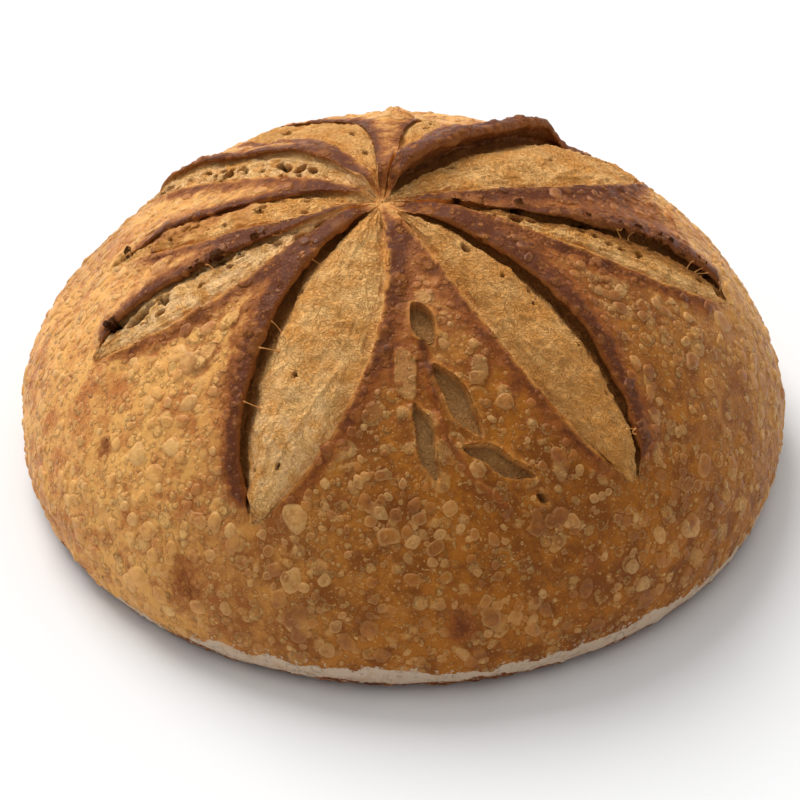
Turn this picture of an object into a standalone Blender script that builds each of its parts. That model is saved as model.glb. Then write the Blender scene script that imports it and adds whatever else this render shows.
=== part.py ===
"""A round sourdough loaf, scored with an eight-armed star and a small ear of wheat.

The loaf is one solid. It starts as a turned dome with a flat base. Its points are then
moved onto a plan that is fitted to the star: columns of points run out from the star's
centre, along both edges of every cut and across the crumb that swells out of it. Each
cut has an ear, a lip of crust that curls up and over the crumb on one side.

Metres, +Z up, base on z = 0, origin under the middle of the loaf.
"""

import math
from collections import namedtuple

import bmesh
import bpy
import numpy as np
from mathutils import Matrix, Vector

MM = 0.001

# Driving dimensions, in millimetres.
RADIUS = 125.0            # of the loaf at its widest
HEIGHT = 102.5            # of the plain dome, without the ears
WAIST = 16.4              # height at which the loaf is widest
BASE_RADIUS = 116.25      # of the flat underside
ROUND_OUT = 2.2           # exponent of the dome's flank
ROUND_UP = 1.54           # exponent of the dome's crown
ROUND_UNDER = 2.6         # exponent of the curve from the waist in to the base
STAR_CENTRE = (-6.5, -16.8)   # where the cuts meet, measured along the crust from the top
SLUMP = 3.2               # how much lower the crown is behind
SLUMP_AZIMUTH = 110.0

RINGS = 34                # rows of points from the star's centre to the base's edge
CUT_COLUMNS = 9           # strips across a cut
STRAP_COLUMNS = 4         # strips across the crust between two cuts
WIDE_STRAP_COLUMNS = 6    # the same, where two cuts are far apart
WIDE_STRAP_ANGLE = 45.0

# A cut, in degrees and millimetres. azimuth: of the arm, from +X towards +Y. length: from
# the star's centre. root: where it starts to open. width: at its fullest, which comes at
# the fraction fullest of the length. sharpness: how pointed its ends are. bow: how far its
# middle line bends towards the ear. ear: +1 where the ear is on the side of the higher
# azimuth, -1 on the other. lift and reach: how high the ear stands and how far it is hollow
# underneath. depth: of that hollow. swell: how proud the crumb stands. droop: the share of
# its lift that the ear loses towards the cut's far end. flush: how far up the ear the crumb
# fills its hollow.
Cut = namedtuple("Cut", "azimuth length root width fullest sharpness bow"
                        " ear lift reach depth swell droop flush")

CUTS = [
    Cut(2.4, 120, 2, 18.5, 0.76, 3.10, -6.3, +1, 3.0, 2.5, 6.0, 0.5, 0.0, 0.35),  # right
    Cut(40.5, 118, 0, 35.0, 0.70, 1.35, -7.5, +1, 8.6, 4.0, 5.0, 0.9, 1.0, 0.35),  # right, behind
    Cut(74.0, 62, 20, 9.0, 0.60, 1.60, 0.0, +1, 1.5, 1.0, 1.5, 0.3, 0.0, 0.6),  # a tear behind it
    Cut(120.0, 98, 1, 22.5, 0.72, 2.00, 9.3, -1, 1.2, 1.0, 2.0, 0.5, 0.0, 0.9),  # behind
    Cut(145.5, 106, 1, 10.0, 0.57, 1.30, 4.0, -1, 5.5, 1.8, 3.0, 0.5, 0.0, 0.9),  # left, behind
    Cut(170.5, 96, 1, 15.5, 0.48, 1.95, -5.2, -1, 2.5, 1.5, 3.0, 0.5, 0.0, 0.8),  # left
    Cut(195.8, 104, 0, 16.6, 0.68, 2.90, -6.4, -1, 2.5, 1.8, 3.5, 0.5, 0.0, 0.75),  # left, in front
    Cut(247.0, 112, 2, 34.8, 0.55, 1.88, -2.4, -1, 4.0, 2.5, 5.0, 2.5, 0.3, 0.35),  # front left
    Cut(315.0, 118, 5, 26.0, 0.60, 1.75, 1.5, +1, 4.0, 2.5, 5.0, 2.5, 0.3, 0.4),  # front right
]

MIN_WIDTH = 3.0           # least distance between the two columns that edge a cut
EAR_SPREAD = 11.0         # how far back from its lip the ear's rise reaches
PLAIN_LIP = 0.8           # rise of the crust along a cut's other edge
PLAIN_SPREAD = 5.0
END_SLOPE = 9.0           # length over which a cut's floor comes up at its ends
TIP_FLARE = 50.0          # length beyond a tip over which the columns spread evenly again

# A leaf of the ear of wheat: middle (along the crust from the top), length, width, azimuth.
Leaf = namedtuple("Leaf", "x y length width azimuth")
LEAVES = [
    Leaf(5.7, -64.2, 15.0, 7.5, 298.0),
    Leaf(16.8, -87.6, 26.0, 7.5, 305.5),
    Leaf(7.0, -100.5, 24.0, 6.0, 287.0),
    Leaf(30.2, -104.2, 24.5, 6.2, 344.0),
]
LEAF_DEPTH = 2.5

CRUST_COLOUR = (0.42, 0.18, 0.05, 1.0)
CRUST_ROUGHNESS = 0.55


def clear_scene():
    for thing in list(bpy.data.objects):
        bpy.data.objects.remove(thing, do_unlink=True)


def collection(name):
    group = bpy.data.collections.new(name)
    bpy.context.scene.collection.children.link(group)
    return group


def meridian():
    """The dome's profile: distance along the crust from the top, radius and height."""
    angle = np.linspace(math.pi / 2, 0.0, 400)
    crown_r = RADIUS * np.cos(angle) ** (2 / ROUND_OUT)
    crown_z = WAIST + (HEIGHT - WAIST) * np.sin(angle) ** (2 / ROUND_UP)
    angle = np.linspace(0.0, math.pi / 2, 60)[1:]
    under_r = BASE_RADIUS + (RADIUS - BASE_RADIUS) * np.cos(angle) ** (2 / ROUND_UNDER)
    under_z = WAIST - WAIST * np.sin(angle) ** (2 / ROUND_UNDER)
    radius = np.concatenate([crown_r, under_r])
    height = np.concatenate([crown_z, under_z])
    steps = np.hypot(np.diff(radius), np.diff(height))
    return np.concatenate([[0.0], np.cumsum(steps)]), radius, height


ALONG, PROFILE_R, PROFILE_Z = meridian()
EDGE = float(ALONG[-1])   # from the top to the base's edge


def eased(share):
    """A share held between 0 and 1, with a soft start and end."""
    share = max(0.0, min(1.0, share))
    return share * share * (3 - 2 * share)


def dome(x, y):
    """The plain dome's point and outward normal at a place on the plan."""
    along = math.hypot(x, y)
    turn = math.atan2(y, x)
    radius = np.interp(along, ALONG, PROFILE_R)
    height = np.interp(along, ALONG, PROFILE_Z)
    step = 0.5
    d_radius = np.interp(along + step, ALONG, PROFILE_R) - np.interp(along - step, ALONG, PROFILE_R)
    d_height = np.interp(along + step, ALONG, PROFILE_Z) - np.interp(along - step, ALONG, PROFILE_Z)
    point = Vector((radius * math.cos(turn), radius * math.sin(turn), height))
    normal = Vector((-d_height * math.cos(turn), -d_height * math.sin(turn), max(d_radius, 0.0)))
    normal = normal.normalized() if normal.length > 0 else Vector((0, 0, 1))
    behind = eased((math.cos(turn - math.radians(SLUMP_AZIMUTH)) + 0.2) / 0.8)
    slump = SLUMP * behind * eased((along - 20) / 45) * eased((150 - along) / 35)
    return point - normal * slump, normal


def reach(azimuth):
    """Distance on the plan from the star's centre to the base's edge."""
    cx, cy = STAR_CENTRE
    dx, dy = math.cos(azimuth), math.sin(azimuth)
    b = cx * dx + cy * dy
    return -b + math.sqrt(b * b - (cx * cx + cy * cy - EDGE * EDGE))


def opening(cut, rho):
    """Width of a cut, and how far its middle is bent, at a distance from the centre."""
    part = (rho - cut.root) / (cut.length - cut.root)
    if not 0.0 < part < 1.0:
        return 0.0, 0.0
    m, k = cut.fullest, cut.sharpness
    shape = (part / m) ** (k * m) * ((1 - part) / (1 - m)) ** (k * (1 - m))
    return cut.width * shape, cut.bow * math.sin(math.pi * part)


def strength(cut, rho):
    """From 0 at a cut's ends to 1 along its middle: how fully it has opened."""
    width = opening(cut, rho)[0]
    ends = min(rho - cut.root, cut.length - rho) / END_SLOPE
    return eased(ends) * min(1.0, width / 10.0)


def ear_lift(cut, rho):
    """How high a cut's ear stands at a distance from the centre."""
    part = (rho - cut.root) / (cut.length - cut.root)
    return cut.lift * strength(cut, rho) * (1 - cut.droop * eased((part - 0.62) / 0.24))


def cut_edges(cut, rho):
    """Azimuths, in degrees, of the two columns that edge a cut: lower and higher."""
    width, bend = opening(cut, rho)
    width = math.hypot(width, MIN_WIDTH * min(1.0, rho / 30.0))
    even = 180.0 * CUT_COLUMNS / COLUMNS
    spread = eased((rho - cut.length) / TIP_FLARE)
    middle = cut.azimuth + cut.ear * math.degrees(bend / rho)
    half = math.degrees(width / 2 / rho)
    half = half + (even - half) * spread
    return middle - half, middle + half


def column_layout():
    """For each column: its cut's index (or None), its strip in it, and its strap."""
    columns = []
    count = len(CUTS)
    for index, cut in enumerate(CUTS):
        following = CUTS[(index + 1) % count]
        gap = (following.azimuth - cut.azimuth) % 360.0
        strips = WIDE_STRAP_COLUMNS if gap > WIDE_STRAP_ANGLE else STRAP_COLUMNS
        columns += [("cut", index, strip) for strip in range(CUT_COLUMNS + 1)]
        columns += [("strap", index, strip / strips) for strip in range(1, strips)]
    return columns


LAYOUT = column_layout()
COLUMNS = len(LAYOUT)

# The section across a cut, from the ear's lip to the other edge. width: how far each column
# is from the ear's edge, as a part of the cut's width. reach: how far it stands out over the
# cut from there, or back under the ear. lift, depth, swell: its height, in parts of each.
SECTION_WIDTH = (0.00, 0.00, 0.00, 0.00, 0.07, 0.19, 0.40, 0.65, 0.88, 1.00)
SECTION_REACH = (0.00, 0.20, -0.15, -0.90, -0.60, 0.00, 0.00, 0.00, 0.00, 0.00)
SECTION_LIFT = (1.00, 0.60, 0.10, 0.00, 0.00, 0.00, 0.00, 0.00, 0.00, 0.00)
SECTION_DEPTH = (0.00, 0.00, -0.15, -0.55, -1.00, -0.50, -0.10, 0.00, -0.05, 0.00)
SECTION_SLOPE = (0.00, 0.25, 0.65, 0.78, 0.68, 0.46, 0.20, 0.00, 0.00, 0.00)
SECTION_SWELL = (0.00, 0.00, 0.00, 0.00, 0.00, 0.60, 1.00, 0.95, 0.30, 0.00)


def beside_cuts(rho, azimuth):
    """Rise of the crust beside the cuts at a place."""
    rise = 0.0
    for cut in CUTS:
        power = strength(cut, rho)
        if power == 0.0:
            continue
        low, high = cut_edges(cut, rho)
        ear_edge, plain_edge = (high, low) if cut.ear > 0 else (low, high)
        away = math.radians(turn_between(ear_edge, azimuth) * cut.ear) * rho
        if away > -0.01:
            rise += ear_lift(cut, rho) * math.exp(-(away / EAR_SPREAD) ** 2)
        away = -math.radians(turn_between(plain_edge, azimuth) * cut.ear) * rho
        if away > -0.01:
            rise += PLAIN_LIP * power * math.exp(-(away / PLAIN_SPREAD) ** 2)
    return rise


def turn_between(start, end):
    """The signed angle from one azimuth to another, in degrees, between -180 and 180."""
    return (end - start + 180.0) % 360.0 - 180.0


def place(ring, column):
    """The surface's point for one ring and one column of the plan."""
    kind, index, strip = LAYOUT[column]
    cut = CUTS[index]
    fraction = ring / RINGS
    rho = max(fraction * reach(math.radians(cut.azimuth)), 0.5)
    low, high = cut_edges(cut, rho)
    if kind == "strap":
        following = CUTS[(index + 1) % len(CUTS)]
        next_low = cut_edges(following, rho)[0]
        azimuth = high + turn_between(high, next_low) * strip
        rise, lean = beside_cuts(rho, azimuth), 0.0
    else:
        azimuth, rise, lean = across_cut(cut, rho, low, high, strip)
    turn = math.radians(azimuth)
    rho = fraction * reach(turn)
    x = STAR_CENTRE[0] + rho * math.cos(turn)
    y = STAR_CENTRE[1] + rho * math.sin(turn)
    point, normal = dome(x, y)
    sideways = Vector((-math.sin(turn), math.cos(turn), 0.0))
    sideways -= normal * sideways.dot(normal)
    return point + normal * rise + sideways * lean


def across_cut(cut, rho, low, high, strip):
    """Azimuth, rise and lean of the column at one strip across a cut."""
    step = strip if cut.ear < 0 else CUT_COLUMNS - strip
    power = strength(cut, rho)
    even = low + (high - low) * strip / CUT_COLUMNS
    part = SECTION_WIDTH[step]
    fitted = low + (high - low) * part if cut.ear < 0 else high - (high - low) * part
    azimuth = even + (fitted - even) * min(1.0, 2.0 * power)
    if step in (0, CUT_COLUMNS):
        return azimuth, beside_cuts(rho, azimuth), 0.0
    rise = (SECTION_LIFT[step] + SECTION_SLOPE[step] * cut.flush) * ear_lift(cut, rho)
    depth = cut.depth * (1 - 0.6 * cut.flush)
    rise += (SECTION_DEPTH[step] * depth + SECTION_SWELL[step] * cut.swell) * power
    lean = -cut.ear * SECTION_REACH[step] * cut.reach * (1 - 0.7 * cut.flush) * power
    return azimuth, rise, lean


def turned_dome(group):
    """The dome as a turned profile, one point for each ring and a step for each column."""
    mesh = bpy.data.meshes.new("loaf_profile")
    levels = [EDGE * ring / RINGS for ring in range(RINGS + 1)]
    points = [(float(np.interp(s, ALONG, PROFILE_R)), 0.0, float(np.interp(s, ALONG, PROFILE_Z)))
              for s in levels]
    points.append((0.0, 0.0, 0.0))
    points = [Vector(point) * MM for point in points]
    mesh.from_pydata(points, [(i, i + 1) for i in range(len(points) - 1)], [])
    loaf = bpy.data.objects.new("loaf", mesh)
    group.objects.link(loaf)
    screw = loaf.modifiers.new("turn", "SCREW")
    screw.steps = COLUMNS
    screw.render_steps = COLUMNS
    screw.use_merge_vertices = True
    screw.merge_threshold = 1e-5
    return loaf


def applied(thing):
    """Replaces an object's mesh by what its modifiers make of it."""
    depsgraph = bpy.context.evaluated_depsgraph_get()
    mesh = bpy.data.meshes.new_from_object(thing.evaluated_get(depsgraph))
    thing.modifiers.clear()
    thing.data = mesh


def score(loaf):
    """Moves every point of the turned dome onto the scored surface."""
    levels = [EDGE * ring / RINGS for ring in range(RINGS + 1)]
    rows = [Vector((float(np.interp(s, ALONG, PROFILE_R)), float(np.interp(s, ALONG, PROFILE_Z))))
            for s in levels]
    for vertex in loaf.data.vertices:
        here = Vector((math.hypot(vertex.co.x, vertex.co.y), vertex.co.z)) / MM
        if here.length < 1.0:
            continue
        ring = min(range(RINGS + 1), key=lambda row: (rows[row] - here).length)
        turn = math.degrees(math.atan2(vertex.co.y, vertex.co.x)) % 360.0
        column = round(turn / 360.0 * COLUMNS) % COLUMNS
        vertex.co = place(ring, column) * MM


def leaf_cutter(leaf, number, group):
    """A flat ellipsoid, half sunk in the crust, for one leaf of the ear of wheat."""
    mesh = bpy.data.meshes.new("leaf_cutter_%d" % number)
    shape = bmesh.new()
    bmesh.ops.create_uvsphere(shape, u_segments=16, v_segments=8, radius=1.0)
    size = (leaf.length / 2 * MM, leaf.width / 2 * MM, LEAF_DEPTH * MM)
    bmesh.ops.scale(shape, vec=size, verts=shape.verts)
    shape.to_mesh(mesh)
    shape.free()
    cutter = bpy.data.objects.new("leaf_cutter_%d" % number, mesh)
    group.objects.link(cutter)
    point, normal = dome(leaf.x, leaf.y)
    turn = math.radians(leaf.azimuth)
    ahead = dome(leaf.x + math.cos(turn), leaf.y + math.sin(turn))[0] - point
    across = normal.cross(ahead).normalized()
    along = across.cross(normal).normalized()
    frame = Matrix((along, across, normal)).transposed().to_4x4()
    cutter.matrix_world = Matrix.Translation((point + normal * 0.5) * MM) @ frame
    cutter.hide_render = True
    cutter.display_type = "WIRE"
    return cutter


def cut_leaves(loaf, group):
    for number, leaf in enumerate(LEAVES):
        cutter = leaf_cutter(leaf, number, group)
        cut = loaf.modifiers.new("leaf_%d" % number, "BOOLEAN")
        cut.operation = "DIFFERENCE"
        cut.object = cutter
        cut.solver = "EXACT"


def centre(loaf):
    """Brings the middle of the loaf's own box onto the z axis."""
    xs = [vertex.co.x for vertex in loaf.data.vertices]
    ys = [vertex.co.y for vertex in loaf.data.vertices]
    shift = Vector(((min(xs) + max(xs)) / 2, (min(ys) + max(ys)) / 2, 0.0))
    for vertex in loaf.data.vertices:
        vertex.co -= shift


def crust_material():
    material = bpy.data.materials.new("crust")
    material.use_nodes = True
    shader = material.node_tree.nodes["Principled BSDF"]
    shader.inputs["Base Color"].default_value = CRUST_COLOUR
    shader.inputs["Roughness"].default_value = CRUST_ROUGHNESS
    shader.inputs["Metallic"].default_value = 0.0
    return material


def main():
    clear_scene()
    parts = collection("sourdough_loaf")
    cutters = collection("cutters")
    loaf = turned_dome(parts)
    applied(loaf)
    score(loaf)
    centre(loaf)
    loaf.data.materials.append(crust_material())
    loaf.data.shade_smooth()
    cut_leaves(loaf, cutters)


main()
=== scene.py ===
"""The looks of a round sourdough loaf: blistered crust, curled ears, open crumb, floured base.

The loaf's skin is one fitted sheet of points. Its rows are rings around the star of cuts,
and its columns run out from the star's centre: along the edges of every cut, down under
the ear and up over the crumb. Noise moves the skin for the crust's and the crumb's relief.
Flakes, bubbles and gluten strands are separate meshes laid on it.

Lengths are in millimetres until a mesh is made, and angles in degrees.
"""

import math
from collections import namedtuple
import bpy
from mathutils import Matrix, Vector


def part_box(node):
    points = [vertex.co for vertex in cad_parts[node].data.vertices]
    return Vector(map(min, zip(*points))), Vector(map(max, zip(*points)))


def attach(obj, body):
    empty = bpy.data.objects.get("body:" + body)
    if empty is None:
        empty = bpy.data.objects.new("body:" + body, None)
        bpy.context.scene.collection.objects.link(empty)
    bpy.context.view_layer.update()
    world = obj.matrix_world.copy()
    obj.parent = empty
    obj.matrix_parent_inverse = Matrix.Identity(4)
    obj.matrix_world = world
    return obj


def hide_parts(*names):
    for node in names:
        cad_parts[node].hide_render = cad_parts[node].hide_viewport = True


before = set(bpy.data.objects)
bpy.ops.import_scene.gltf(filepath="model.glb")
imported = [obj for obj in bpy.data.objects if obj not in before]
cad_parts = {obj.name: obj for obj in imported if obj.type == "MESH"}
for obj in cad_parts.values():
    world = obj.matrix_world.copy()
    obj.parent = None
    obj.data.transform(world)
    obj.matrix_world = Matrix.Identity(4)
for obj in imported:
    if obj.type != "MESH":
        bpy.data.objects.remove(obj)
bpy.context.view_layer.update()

from types import SimpleNamespace

import bpy
import numpy as np

LOW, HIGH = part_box("loaf")

# The plain dome.
RADIUS = 125.0            # of the loaf at its widest
HEIGHT = 102.5            # without the ears
WAIST = 16.4              # height at which it is widest
BASE_RADIUS = 116.25
ROUND_OUT = 2.2           # exponents of the flank, the crown and the curve in to the base
ROUND_UP = 1.54
ROUND_UNDER = 2.6
STAR_CENTRE = (-6.5, -16.8)   # where the cuts meet, measured along the crust from the top
SLUMP = 3.2               # how much lower the crown is behind
SLUMP_AZIMUTH = 110.0
MM = (HIGH.x - LOW.x) / 2 / RADIUS       # one millimetre of this script, in metres

RING_STEP = 0.70          # between two rows of the skin
COLUMN_STEP = 0.80        # between two columns on the crust
CUT_STEP = 0.62           # between two columns in a cut
UNDER_RINGS = 14          # rows of the underside

# A cut, in degrees and millimetres. azimuth: of the arm, from +X towards +Y. length: from
# the star's centre. root: where it starts to open. width: at its fullest, which comes at
# the fraction fullest of the length. sharpness: how pointed its ends are. bow: how far its
# middle line bends towards the ear. ear: +1 where the ear is on the side of the higher
# azimuth, -1 on the other. lift and reach: how high the ear stands and how far it is hollow
# underneath. depth: of that hollow. swell: how proud the crumb stands. droop: the share of
# its lift that the ear loses towards the far end. lip: how thick the ear's edge is. flush:
# how far up the ear the crumb fills its hollow.
Cut = namedtuple("Cut", "azimuth length root width fullest sharpness bow ear"
                        " lift reach depth swell droop lip flush")
CUTS = [
    Cut(2.4, 120, 2, 18.5, 0.76, 3.10, -6.3, +1, 3.0, 2.5, 6.0, 0.5, 0.0, 1.2, 0.35),     # right
    Cut(40.5, 118, 0, 35.0, 0.70, 1.35, -7.5, +1, 8.6, 4.0, 5.0, 0.9, 1.0, 1.9, 0.35),    # right, behind
    Cut(74.0, 62, 20, 9.0, 0.60, 1.60, 0.0, +1, 1.5, 1.0, 1.5, 0.3, 0.0, 0.6, 0.6),       # a tear behind it
    Cut(120.0, 98, 1, 22.5, 0.72, 2.00, 9.3, -1, 1.2, 1.0, 2.0, 0.5, 0.0, 0.5, 0.9),      # behind
    Cut(145.5, 106, 1, 10.0, 0.57, 1.30, 4.0, -1, 5.5, 1.8, 3.0, 0.5, 0.0, 0.9, 0.9),     # left, behind
    Cut(170.5, 96, 1, 15.5, 0.48, 1.95, -5.2, -1, 2.5, 1.5, 3.0, 0.5, 0.0, 0.9, 0.8),     # left
    Cut(195.8, 104, 0, 16.6, 0.68, 2.90, -6.4, -1, 2.5, 1.8, 3.5, 0.5, 0.0, 1.1, 0.75),   # left, in front
    Cut(247.0, 112, 2, 34.8, 0.55, 1.88, -2.4, -1, 4.0, 2.5, 5.0, 2.5, 0.3, 1.5, 0.35),   # front left
    Cut(315.0, 118, 5, 26.0, 0.60, 1.75, 1.5, +1, 4.0, 2.5, 5.0, 2.5, 0.3, 1.5, 0.4),     # front right
]
ALL = Cut(*np.array(CUTS).T)              # the same numbers, as one row for each property
RIGHT, HALF_CLOSED, FRONT_LEFT = 0, 5, 7  # the cuts whose crumb is unlike the others'

# For each cut: its open pores, its gluten strands, and the tone of its crumb, from toasted
# at 1 to pale at -1. The crust comes last.
PITS_PER_CUT = (44, 10, 3, 4, 38, 18, 42, 4, 12)
STRANDS_PER_CUT = (7, 0, 0, 0, 1, 1, 4, 4, 3)
CRUMB_TONE = np.array([0.7, 0.3, 0.2, 0.4, -0.7, -0.1, -0.9, 0.0, 0.5, 0.0])

# What is uneven along a cut: the property, the size of its swings, their share and seed.
UNEVEN = (("lift", 17.0, 0.22, 4), ("reach", 13.0, 0.3, 5), ("depth", 9.0, 0.3, 5),
          ("swell", 20.0, 0.2, 5), ("thick", 8.0, 0.3, 5))
HOLLOW = 0.75             # share of a cut's depth that its rough floor really has
MIN_WIDTH = 3.0           # of the columns of a cut, where it is closed
LEAST_STRAP = 2.0         # degrees of crust between two cuts
STRAP_DISTANCE = 100.0    # from the star's centre, where a strap's columns are counted
EAR_SPREAD = 11.0         # how far from an ear the crust rises
PLAIN_LIP = 0.8           # rise of a cut's other edge, and how far from it
PLAIN_SPREAD = 5.0
END_SLOPE = 9.0           # length over which a cut's edges fade at its ends
TIP_FLARE = 50.0          # length over which a cut's columns spread out beyond it

# Ovals on the crust: x and y of the middle, length, width and azimuth.
LEAVES = ((5.7, -64.2, 15.0, 7.5, 298.0), (16.8, -87.6, 26.0, 7.5, 305.5), (7.0, -100.5, 24.0, 6.0, 287.0),
          (30.2, -104.2, 24.5, 6.2, 344.0), (44.6, -112.7, 4.0, 2.6, 340.0))
FLAKES = ((0.5, -80.0, 17.0, 8.0, 283.0), (-63.0, -64.0, 11.0, 7.0, 222.0), (-78.0, -21.0, 9.0, 5.5, 190.0),
          (-53.0, -55.0, 7.0, 6.0, 218.0), (23.0, -77.0, 8.0, 6.5, 300.0), (31.0, -85.0, 8.0, 6.0, 296.0),
          (-43.0, -67.0, 9.0, 6.0, 235.0), (50.0, -103.0, 7.0, 6.0, 303.0), (84.0, -89.0, 8.0, 6.0, 321.0))
HOLES = ((-86.0, -40.5, 9.5, 4.2, 203.0), (-96.0, -38.5, 4.5, 2.2, 195.0), (-102.0, -40.0, 3.0, 1.6, 190.0),
         (-57.0, -31.0, 5.0, 2.6, 205.0), (-63.0, -32.0, 3.0, 1.8, 205.0), (-50.0, -32.0, 3.5, 1.6, 210.0),
         (-76.0, -38.5, 3.5, 2.0, 215.0), (-99.0, 0.5, 10.0, 4.8, 171.0), (-86.0, 4.0, 9.0, 1.4, 172.0))
# The wheat's stem, and spots that are baked dark: x, y and size.
STEM = ((5.0, -68.0), (9.0, -86.0), (13.0, -99.0), (22.0, -110.0), (33.0, -117.0))
SPOTS = ((-103.9, -77.6, 4.2), (-79.8, -130.2, 8.5), (20.2, -152.9, 7.5), (66.0, -128.0, 3.4))
# Straps of crust between two cuts that are baked darker: azimuth, spread of it, how much,
# and how far out.
STRAP_BAKE = ((281.0, 13.0, 0.34, 100.0), (342.0, 14.0, 0.32, 100.0), (19.0, 11.0, 0.85, 128.0),
              (97.0, 9.0, 0.25, 100.0), (226.0, 9.0, 0.20, 100.0))
CREST = (60.0, 86.0, 4.6)    # a peak on the crust between two cuts: distance, azimuth, rise

# Relief, in layers of noise: height, size and seed.
LUMPS = ((0.8, 55.0, 3), (0.5, 21.0, 4), (0.3, 11.0, 5))
CRUST_GRAIN = ((0.30, 7.0, 21), (0.16, 3.4, 22))
CRUMB_GRAIN = ((0.55, 7.0, 60), (0.3, 2.6, 61))
LEAF_DEPTH = 3.3
PIT_DEPTH = 3.3
FLOUR_LINE = 9.6          # height of the floured rim

# Blisters with a mesh of their own: how many, their typical radius, its spread and limits,
# the sides of each, and the highest rise.
Blisters = namedtuple("Blisters", "count typical spread least most sides highest")
LARGE_BLISTERS = Blisters(1050, 1.9, 0.34, 1.2, 4.2, 16, 0.6)
SMALL_BLISTERS = Blisters(3400, 0.8, 0.32, 0.45, 1.6, 9, 0.4)
BLISTER_START = 40        # rows of the skin round the star's centre without blisters
STRAND_STEPS = 12
STRAND_SIDES = 5
STRAND_START, STRAND_END = 30, 20    # rows without strands, at the sheet's start and end

rng = np.random.default_rng(7)


# ---------------------------------------------------------------- noise

HASH = (374761393, 668265263, 1442695041, 1013904223)     # large odd numbers


def corner(cell, seed):
    """A number from 0 to 1 for each whole-numbered cell."""
    mix = sum(cell[..., axis] * HASH[axis] for axis in range(3)) + seed * HASH[3]
    mix = mix & 0xFFFFFFFF
    mix = ((mix ^ (mix >> 13)) * 1274126177) & 0xFFFFFFFF
    return ((mix ^ (mix >> 16)) & 0xFFFFFF) / float(0xFFFFFF)


def noise(points, size, seed):
    """Smooth value noise from -1 to 1 with features of about the given size."""
    place = points / size
    cell = np.floor(place).astype(np.int64)
    part = place - cell
    part = part * part * (3 - 2 * part)
    total = 0.0
    for dx, dy, dz in np.ndindex(2, 2, 2):
        weight = (np.abs(1 - dx - part[..., 0]) * np.abs(1 - dy - part[..., 1])
                  * np.abs(1 - dz - part[..., 2]))
        total = total + weight * corner(cell + np.array([dx, dy, dz]), seed)
    return 2 * total - 1


def layered(points, layers):
    """Noises of several sizes, added up."""
    return sum(height * noise(points, size, seed) for height, size, seed in layers)


def pushed(points, amount, size, seed):
    """The points, pushed about by noise."""
    return points + amount * np.stack([noise(points, size, seed + k) for k in range(3)], -1)


def scattered(points, size, seed):
    """Each cell round a place, and the way to the place from a point scattered in the cell."""
    place = points / size
    cell = np.floor(place).astype(np.int64)
    for step in np.ndindex(3, 3, 3):
        other = cell + (np.array(step) - 1)
        spot = other + np.stack([corner(other, seed + k) for k in range(3)], -1)
        yield other, place - spot


def cells(points, size, seed):
    """Distances to the nearest and second nearest of points scattered one to a cell."""
    near = np.full(points.shape[:-1], 9.0)
    second = near.copy()
    for _, offset in scattered(points, size, seed):
        away = np.linalg.norm(offset, axis=-1)
        second = np.minimum(second, np.maximum(near, away))
        near = np.minimum(near, away)
    return near, second


def bubbled(points, size, seed, share):
    """Height of a heap of round bubbles over each point: one to a cell, of every radius."""
    top = np.zeros(points.shape[:-1])
    for other, offset in scattered(points, size, seed):
        radius = 0.16 + 0.40 * corner(other, seed + 5) ** 1.5
        radius = radius * (corner(other, seed + 6) < share)
        inside = radius ** 2 - (offset ** 2).sum(-1)
        top = np.maximum(top, np.sqrt(np.maximum(inside, 0.0)))
    return top * size


def smooth(value):
    """A soft step: 0 up to 0, 1 from 1 on."""
    value = np.clip(value, 0.0, 1.0)
    return value * value * (3 - 2 * value)


def bell(away, width):
    """1 at no distance, falling off over the width."""
    return np.exp(-(away / width) ** 2)


def unit(vectors):
    """The vectors, each one long."""
    return vectors / np.maximum(np.linalg.norm(vectors, axis=-1, keepdims=True), 1e-9)


def turned(x, y, angle):
    """Distances along and across a direction, given in radians."""
    return x * np.cos(angle) + y * np.sin(angle), y * np.cos(angle) - x * np.sin(angle)


# ---------------------------------------------------------------- the dome and its plan

def meridian():
    """The dome's profile: distance along the crust from the top, radius and height."""
    angle = np.linspace(math.pi / 2, 0.0, 400)
    crown_r = RADIUS * np.cos(angle) ** (2 / ROUND_OUT)
    crown_z = WAIST + (HEIGHT - WAIST) * np.sin(angle) ** (2 / ROUND_UP)
    angle = np.linspace(0.0, math.pi / 2, 60)[1:]
    under_r = BASE_RADIUS + (RADIUS - BASE_RADIUS) * np.cos(angle) ** (2 / ROUND_UNDER)
    under_z = WAIST - WAIST * np.sin(angle) ** (2 / ROUND_UNDER)
    radius = np.concatenate([crown_r, under_r])
    height = np.concatenate([crown_z, under_z])
    steps = np.hypot(np.diff(radius), np.diff(height))
    return np.concatenate([[0.0], np.cumsum(steps)]), radius, height


ALONG, PROFILE_R, PROFILE_Z = meridian()
EDGE = float(ALONG[-1])


def dome(x, y):
    """Points and outward normals of the plain dome at places on the plan."""
    along = np.hypot(x, y)
    turn = np.arctan2(y, x)
    (radius, height), (r0, z0), (r1, z1) = (
        (np.interp(along + step, ALONG, PROFILE_R), np.interp(along + step, ALONG, PROFILE_Z))
        for step in (0.0, -1.0, 1.0))
    points = np.stack([radius * np.cos(turn), radius * np.sin(turn), height], -1)
    normals = unit(np.stack([(z0 - z1) * np.cos(turn), (z0 - z1) * np.sin(turn), r1 - r0 + 1e-6], -1))
    slump = SLUMP * smooth((np.cos(turn - math.radians(SLUMP_AZIMUTH)) + 0.2) / 0.8)
    slump = slump * smooth((along - 20) / 45) * smooth((150 - along) / 35)
    return points - normals * slump[..., None], normals


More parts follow.
